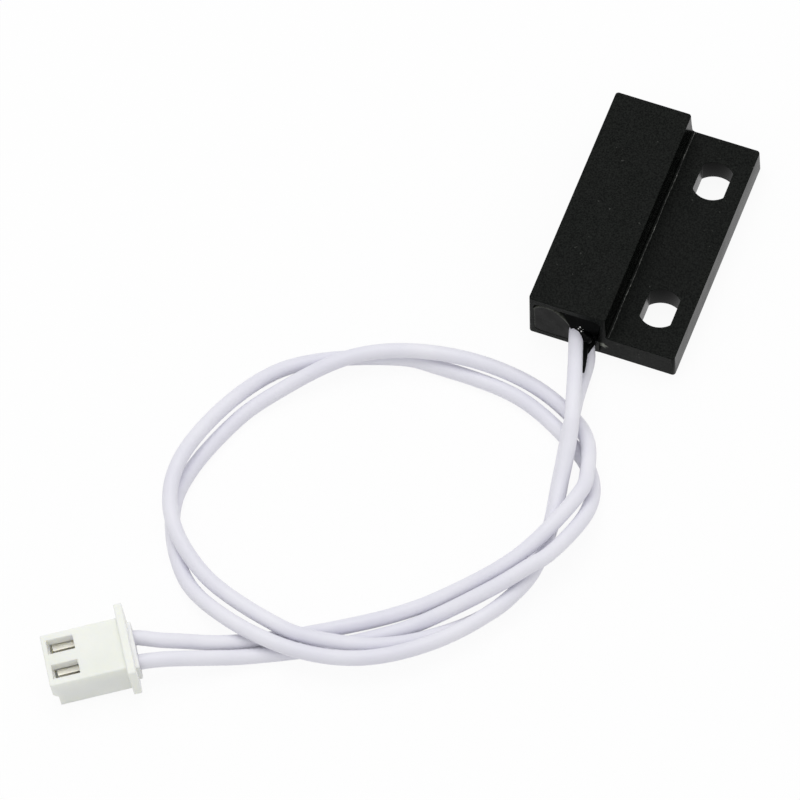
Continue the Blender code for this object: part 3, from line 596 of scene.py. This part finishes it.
def mould_housing():
    """Block and flange with drafted walls, the pocket for the resin and the two slots."""
    shell = block("housing_moulding", (LEFT, NEAR, 0.0), (RIGHT, FAR, FLANGE))
    bpy.ops.object.mode_set(mode="EDIT")
    bpy.ops.mesh.select_all(action="SELECT")
    bpy.ops.mesh.bisect(plane_co=(STEP_X, 0.0, 0.0), plane_no=(1.0, 0.0, 0.0))
    bpy.ops.object.mode_set(mode="OBJECT")
    pick_faces(shell, lambda centre, normal: normal.z > 0.9 and centre.x < STEP_X)
    bpy.ops.mesh.extrude_region_move(TRANSFORM_OT_translate={"value": (0.0, 0.0, HEIGHT - FLANGE)})
    bpy.ops.object.mode_set(mode="OBJECT")
    for level in (FLANGE, HEIGHT):
        lean = DRAFT * level

        def at_level(at):
            return abs(at.z - level) < HAIR

        nudge(shell, lambda at: at_level(at) and at.x < LEFT + HAIR, (lean, 0.0, 0.0))
        nudge(shell, lambda at: at_level(at) and at.x > RIGHT - HAIR, (-lean, 0.0, 0.0))
        nudge(shell, lambda at: at_level(at) and at.y < NEAR + HAIR, (0.0, lean, 0.0))
        nudge(shell, lambda at: at_level(at) and at.y > FAR - HAIR, (0.0, -lean, 0.0))
    lean = DRAFT * (HEIGHT - FLANGE)
    nudge(shell, lambda at: at.z > HEIGHT - HAIR and abs(at.x - STEP_X) < HAIR, (-lean, 0.0, 0.0))
    bpy.ops.object.mode_set(mode="EDIT")
    bpy.ops.mesh.select_all(action="SELECT")
    bpy.ops.mesh.dissolve_limited(angle_limit=math.radians(0.2))
    bpy.ops.object.mode_set(mode="OBJECT")
    pick_edges(shell, along(2))
    bevel_picked(0.3 * MM, 6)

    def foot_of_step(a, b):
        return along(1)(a, b) and abs(a.x - STEP_X) < HAIR and abs(a.z - FLANGE) < HAIR

    pick_edges(shell, foot_of_step)
    bevel_picked(0.3 * MM, 5)
    bevel_sharp(shell, 0.08 * MM, 3)
    pocket = block("pocket_core", POCKET_LOW - Vector((0.0, MM, 0.0)), POCKET_HIGH)
    pick_edges(pocket, along(1))
    bevel_picked(0.6 * MM, 6)
    boolean(shell, pocket)
    boolean(shell, join_as("slot_punches", [slot_punch(middle_y) for middle_y in SLOTS_Y]))

    def in_slot(at):
        beside = min(abs(at.y - middle_y) for middle_y in SLOTS_Y)
        return abs(at.x - SLOT_X) < 2 * MM and beside < 2.3 * MM

    def on_rim(at):
        return abs(at.z - FLANGE) < 0.1 * HAIR and in_slot(at)

    pick_edges(shell, lambda a, b: on_rim(a) and on_rim(b))
    bevel_picked(0.04 * MM, 2)
    tidy(shell, 30, weighted=True)
    dress(shell, black)
    shell.data.materials.append(drawn_black_painted_shade)
    # Upright walls on the side, the step and in the slots take the darker copy: painted shade.
    for face in shell.data.polygons:
        upright = abs(face.normal.z) < 0.5
        on_side = face.center.x > RIGHT - 0.2 * MM
        on_step = face.center.z > FLANGE and abs(face.center.x - STEP_X) < 0.08 * MM
        if upright and (on_side or on_step or in_slot(face.center)):
            face.material_index = 1
    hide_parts("housing")


mould_housing()


# Resin in the pocket, with the face that the last pour left round the wires
RIDGE = [
    (-6.6, 4.2), (-6.35, 4.6), (-6.0, 4.95), (-5.55, 5.12), (-5.0, 5.12), (-4.42, 4.9),
    (-3.95, 4.5), (-3.48, 3.95), (-3.15, 3.5), (-2.85, 3.05), (-2.6, 2.5),
]


def beside_ridge(x, z):
    """Distance from the ridge in the resin's face, above zero on the side of the wires."""
    best = None
    for (ax, az), (bx, bz) in zip(RIDGE, RIDGE[1:]):
        dx, dz = bx - ax, bz - az
        share = min(1.0, max(0.0, ((x - ax) * dx + (z - az) * dz) / (dx * dx + dz * dz)))
        gap = math.hypot(x - ax - share * dx, z - az - share * dz)
        side = 1.0 if dx * (z - az) - dz * (x - ax) > 0.0 else -1.0
        if best is None or gap < abs(best):
            best = side * gap
    return best


def blend_step(low, high, value):
    """Rises smoothly from 0 to 1 as the value goes from low to high."""
    share = min(1.0, max(0.0, (value - low) / (high - low)))
    return share * share * (3 - 2 * share)


def resin_depth(x, z):
    """How far the resin's face lies behind the housing's near face, in millimetres."""
    gap = beside_ridge(x, z)
    beyond = blend_step(-0.02, 0.16, gap)
    flat = 0.025
    ramp_down = 0.62 - 0.95 * blend_step(5.2, 2.9, z)
    climb = 0.3 * math.exp(-(5.2 - z) / 0.12)
    climb += 0.25 * math.exp(-(-0.1 - x) / 0.14) * blend_step(2.2, 3.4, z)
    mound = 0.35 * math.exp(-((x + 1.9) ** 2 + (z - 2.4) ** 2) / 0.9)
    depth = flat * (1 - beyond) + (ramp_down - climb) * beyond - mound
    depth -= 0.05 * math.exp(-((gap / 0.07) ** 2))
    depth += 0.008 * math.sin(3.1 * x + 1.3) * math.sin(2.3 * z + 0.4)
    return max(depth, -0.75)


def resin_painted_highlight(x, z):
    """Share of painted highlight in the skin: along the ridge and down the pocket's outer edge."""
    along_ridge = 0.42 * math.exp(-((beside_ridge(x, z) / 0.05) ** 2)) * blend_step(2.6, 3.2, z)
    down_edge = 0.2 * math.exp(-(((x + 6.47) / 0.05) ** 2)) * blend_step(0.7, 1.2, z)
    return max(along_ridge, down_edge)


def paint_highlight_and_smear_share(piece, share):
    """Writes the share of grey at each point of a resin piece: painted highlight on the fill, the smear's
    own grey on the smear.
    """
    pale = piece.data.attributes.new("pale", "FLOAT", "POINT")
    for point, value in zip(piece.data.vertices, pale.data):
        value.value = share(point.co)


def pour_resin():
    """The pocket's filling: a modelled near face, drawn back to a flat far end."""
    low, high = POCKET_LOW, POCKET_HIGH
    middle = ((low.x + high.x) / 2, NEAR, (low.z + high.z) / 2)
    fill = upright_sheet("resin_fill", 120, 88, middle, high.x - low.x, high.z - low.z)
    for point in fill.data.vertices:
        at = point.co
        at.y = NEAR + DRAFT * at.z + resin_depth(at.x / MM, at.z / MM) * MM
    start_picking(fill, "EDGE")
    bpy.ops.object.mode_set(mode="EDIT")
    bpy.ops.mesh.select_non_manifold()
    bpy.ops.mesh.extrude_region_move(TRANSFORM_OT_translate={"value": (0.0, high.y - low.y, 0.0)})
    bpy.ops.transform.resize(value=(1.0, 0.0, 1.0), center_override=(0.0, high.y, 0.0))
    bpy.ops.mesh.edge_face_add()
    bpy.ops.object.mode_set(mode="OBJECT")
    tidy(fill, 60)

    def painted_highlight_at(at):
        return resin_painted_highlight(at.x / MM, at.z / MM) if at.y < NEAR + MM else 0.0

    # The grey along the ridge and the pocket's outer edge is a painted highlight.
    paint_highlight_and_smear_share(fill, painted_highlight_at)
    dress(fill, resin)
    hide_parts("potting_compound")
    return fill


fill = pour_resin()


# Glue that ran down between the two wires. Its first drops, in millimetres: the wire, how far in
# front of the near face, how far aside, how far towards the camera, and the radius
GLUE_DROPS = [
    (1, -0.1, 0.25, 0.25, 0.7), (1, 0.3, 0.5, 0.28, 0.55), (1, 0.7, 0.7, 0.2, 0.45),
    (2, 0.1, -0.15, 0.3, 0.62), (2, 0.5, -0.3, 0.35, 0.5), (2, 0.9, -0.35, 0.4, 0.4),
]


def camera_axes():
    turned = bpy.context.scene.camera.matrix_world.to_3x3()
    return turned.col[0].normalized(), turned.col[2].normalized()


def at_distance(run, distance):
    """Point on a wire's centreline that far in front of the near face."""
    for a, b in zip(run, run[1:]):
        if b.y < NEAR - distance <= a.y:
            return a.lerp(b, (a.y - NEAR + distance) / (a.y - b.y))
    return run[0]


def glue_strip():
    """Drops over both wires' tops and a tail between the wires, run together into one skin."""
    drops = list(GLUE_DROPS)
    for i in range(9):
        s = i / 8
        drops.append((1, -0.5 + 1.4 * s, -0.08 + 1.12 * s, 0.52 - 0.2 * s, 0.46))
        drops.append((2, 0.1 + 1.3 * s, 0.38 - 0.58 * s, 0.42 + 0.05 * s, 0.44 - 0.06 * s))
    for i in range(44):
        s = i / 43
        drops.append((1, 0.6 + 4.15 * s, 0.84 - 0.08 * s, 0.02, 0.36 - 0.12 * s - 0.1 * s ** 4))
    level, towards = camera_axes()
    blobs = []
    for number, distance, aside, forward, radius in drops:
        on_wire = at_distance(wires[number - 1][2], distance * MM)
        blobs.append(ball(3, radius * MM, on_wire + aside * MM * level + forward * MM * towards))
    glue = join_as("glue_between_wires", blobs)
    apply_modifier(
        glue, "run together", "REMESH", mode="VOXEL", voxel_size=0.04 * MM, use_smooth_shade=True
    )
    apply_modifier(glue, "surface tension", "SMOOTH", factor=0.5, iterations=12)
    tidy(glue, 180)
    dress(glue, resin)
    return glue


glue = glue_strip()


# Small marks: painted glints on the resin, a smear beside it, and the raised line along the step's foot.
# Each glint's place across and up the near face, and its radius, in millimetres
GLINT_SPOTS = [
    (-1.99, 3.69, 0.085), (-2.17, 3.27, 0.06), (-1.89, 2.95, 0.07),
    (-2.3, 2.72, 0.035), (-1.72, 3.4, 0.04),
]
SMEAR_X, SMEAR_Z = 0.14, 1.62
SMEAR_HALF_X, SMEAR_HALF_Z = 0.8, 0.62
LINE_X, LINE_Z = 0.65 * MM, 2.915 * MM
LINE_RADIUS = 0.045 * MM
LINE_PIECES = 240


def painted_glint_dots():
    """Each lies where a line from the camera through its place on the near face meets the resin."""
    eye = bpy.context.scene.camera.matrix_world.translation
    bpy.context.view_layer.update()
    glint_balls = []
    for x, z, radius in GLINT_SPOTS:
        towards = (Vector((x * MM, NEAR, z * MM)) - eye).normalized()
        met, spot, *_ = glue.ray_cast(eye, towards)
        if not met:
            met, spot, *_ = fill.ray_cast(eye, towards)
        glint_balls.append(ball(2, radius * MM, spot - 0.5 * radius * MM * towards))
    glint_dots = join_as("painted_glint_dots", glint_balls)
    tidy(glint_dots, 180)
    dress(glint_dots, glint_paint)


def resin_smear():
    """Thin film of resin wiped over the flange's near face, with an uneven outline."""
    def thickness(at):
        across = (at.x / MM - SMEAR_X) / SMEAR_HALF_X
        rise = (at.z / MM - SMEAR_Z) / SMEAR_HALF_Z
        slant = rise + 0.35 * across
        reach = 1.0 + 0.2 * math.sin(5.0 * math.atan2(slant, across) + 0.8)
        return math.exp(-2.6 * (across * across + slant * slant) / reach ** 2)

    middle = (SMEAR_X * MM, NEAR, SMEAR_Z * MM)
    smear = upright_sheet("resin_smear", 44, 36, middle, 2 * SMEAR_HALF_X * MM, 2 * SMEAR_HALF_Z * MM)
    for point in smear.data.vertices:
        at = point.co
        at.y = NEAR + DRAFT * at.z - (0.05 * thickness(at) - 0.015) * MM
    apply_modifier(smear, "film", "SOLIDIFY", thickness=0.06 * MM, offset=-1.0)
    tidy(smear, 60)
    paint_highlight_and_smear_share(smear, lambda at: blend_step(0.3, 0.8, thickness(at)))
    dress(smear, resin)


def step_line():
    """Thin raised line along the foot of the step, uneven as a parting line is; its pale colour is a
    painted highlight.
    """
    path = []
    for i in range(LINE_PIECES + 1):
        y = NEAR + 0.2 * MM + (FAR - NEAR - 0.4 * MM) * i / LINE_PIECES
        sway = 0.014 * math.sin(1.9 * i) + 0.012 * math.sin(0.61 * i + 1.0) + 0.02 * math.sin(0.11 * i)
        path.append(Vector((LINE_X + sway * MM, y, LINE_Z + 0.008 * MM * math.sin(1.3 * i))))
    line = tube("step_line", path, LINE_RADIUS, 2, True)
    tidy(line, 60)
    # Its pale patches are a painted highlight.
    dress(line, step_line_highlight_paint)


painted_glint_dots()
resin_smear()
step_line()


# Plug, modelled in its own frame: +X out of its front, +Z up, the origin under the front edge
PLUG_PLACE = (
    Matrix.Translation((-0.03482, -0.05974, 0.00002))
    @ Matrix.Rotation(math.radians(212.7), 4, "Z")
    @ Matrix.Rotation(math.radians(4.0), 4, "Y")
)
CAVITY_MIDDLES = (-1.25, 1.25)


def box_mm(name, low, high):
    return block(name, Vector(low) * MM, Vector(high) * MM)


def mould_plug():
    """Two-way plug housing: body, rear collar and stub, stepped nose, cavities and windows."""
    body = box_mm("plug_moulding", (-7.4, -2.6, 0.0), (0.0, 2.6, 4.12))
    bevel_sharp(body, 0.14 * MM, 4)
    collar = box_mm("collar", (-7.78, -3.7, -0.3), (-7.03, 3.52, 4.67))
    pick_edges(collar, lambda a, b: along(0)(a, b) and a.z > 0.0)
    bevel_picked(0.16 * MM, 4)
    pick_edges(collar, lambda a, b: along(0)(a, b) and a.z < 0.0)
    bevel_picked(1.1 * MM, 8)
    bevel_sharp(collar, 0.12 * MM, 3)
    boolean(body, collar, "UNION")
    stub = box_mm("stub", (-8.15, -2.4, 0.85), (-7.5, 2.36, 3.22))
    bevel_sharp(stub, 0.12 * MM, 3)
    boolean(body, stub, "UNION")
    step = box_mm("nose_step", (-0.45, -4.0, -1.0), (1.0, 4.0, 2.2))
    pick_edges(step, lambda a, b: along(1)(a, b) and a.x < 0.0 and a.z > 0.0)
    bevel_picked(0.4 * MM, 1)
    boolean(body, step)
    for middle in CAVITY_MIDDLES:
        boolean(body, box_mm("cavity", (-9.3, middle - 1.025, 1.07), (-0.6, middle + 1.025, 3.07)))
        boolean(body, box_mm("window", (-2.9, middle - 0.7, 2.9), (-0.45, middle + 0.7, 5.2)))
        boolean(body, box_mm("pin_entry", (-0.75, middle - 0.5, 1.57), (1.0, middle + 0.5, 2.57)))
    tidy(body, 40, weighted=True)

    def in_cavities(at):
        x, y, z = at / MM
        return -9.0 < x < -0.41 and abs(y) < 2.3 and 1.06 < z < 4.0

    inside = [in_cavities(face.center) for face in body.data.polygons]
    body.data.transform(PLUG_PLACE)
    dress(body, nylon)
    # Faces inside the cavities take the paler copy of the nylon: painted glow.
    body.data.materials.append(nylon_with_painted_glow)
    for face, hidden in zip(body.data.polygons, inside):
        face.material_index = 1 if hidden else 0
    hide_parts("plug_housing")
    return body


plug = mould_plug()

# CAD nodes that stay as they are get their finishes
KEPT = {
    "reed_glass": glass,
    "reed_near": reed_metal,
    "reed_far": reed_metal,
    "solder_near": solder,
    "solder_far": solder,
    "contact_1": brass,
    "contact_2": brass,
}
for node, surface in KEPT.items():
    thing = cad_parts[node]
    for slot in thing.material_slots:
        slot.material = surface


# Floor, world and lamp
FLOOR_GLOW = 0.92
AMBIENT = 0.72
WHITE = (1.0, 1.0, 1.0, 1.0)


def maths(nodes, links, operation, *values):
    node = nodes.new("ShaderNodeMath")
    node.operation = operation
    for value, socket in zip(values, node.inputs):
        if isinstance(value, float):
            socket.default_value = value
        else:
            links.new(value, socket)
    return node.outputs["Value"]


def floor_paper():
    """Matt paper that shows itself nearly white to the camera and keeps the object's shadow."""
    surface, nodes, links, shader = new_surface("floor_paper")
    paper = {"Base Color": (0.9, 0.9, 0.9, 1.0), "Roughness": 1.0, "Specular IOR Level": 0.0}
    fixed(shader, paper)
    glow = nodes.new("ShaderNodeEmission")
    fixed(glow, {"Strength": 1.0})
    rays = nodes.new("ShaderNodeLightPath").outputs
    mirrored = maths(nodes, links, "MAXIMUM", rays["Is Glossy Ray"], rays["Is Transmission Ray"])
    seen = maths(nodes, links, "MAXIMUM", rays["Is Camera Ray"], mirrored)
    mix = nodes.new("ShaderNodeMixShader")
    links.new(maths(nodes, links, "MULTIPLY", seen, FLOOR_GLOW), mix.inputs["Fac"])
    links.new(shader.outputs["BSDF"], mix.inputs[1])
    links.new(glow.outputs["Emission"], mix.inputs[2])
    links.new(mix.outputs["Shader"], nodes["Material Output"].inputs["Surface"])
    return surface


# The floor lies a hair below the housing's underside, so that the two never share a plane
bpy.ops.object.select_all(action="DESELECT")
bpy.ops.mesh.primitive_plane_add(size=3.0, location=(0.0, 0.0, -2 * HAIR))
floor = bpy.context.object
floor.name = "floor"
floor.data.materials.append(floor_paper())


def lamp(name, place, aim, size, power):
    light = bpy.data.lights.new(name, "AREA")
    light.shape = "DISK"
    light.size = size
    light.energy = power
    holder = bpy.data.objects.new(name, light)
    bpy.context.scene.collection.objects.link(holder)
    holder.location = place
    holder.rotation_euler = (Vector(aim) - Vector(place)).to_track_quat("-Z", "Y").to_euler()


lamp("overhead_softbox", (-0.12, 0.16, 0.75), (-0.014, -0.025, 0.0), 0.7, 2.1)

world = bpy.context.scene.world or bpy.data.worlds.new("studio")
bpy.context.scene.world = world
world.use_nodes = True
nodes, links = world.node_tree.nodes, world.node_tree.links
nodes.clear()
ambient = nodes.new("ShaderNodeBackground")
fixed(ambient, {"Color": WHITE, "Strength": AMBIENT})
backdrop = nodes.new("ShaderNodeBackground")
fixed(backdrop, {"Color": WHITE, "Strength": 1.0})
rays = nodes.new("ShaderNodeLightPath")
choose = nodes.new("ShaderNodeMixShader")
output = nodes.new("ShaderNodeOutputWorld")
links.new(rays.outputs["Is Camera Ray"], choose.inputs["Fac"])
links.new(ambient.outputs["Background"], choose.inputs[1])
links.new(backdrop.outputs["Background"], choose.inputs[2])
links.new(choose.outputs["Shader"], output.inputs["Surface"])
bpy.context.scene.view_settings.view_transform = "Standard"
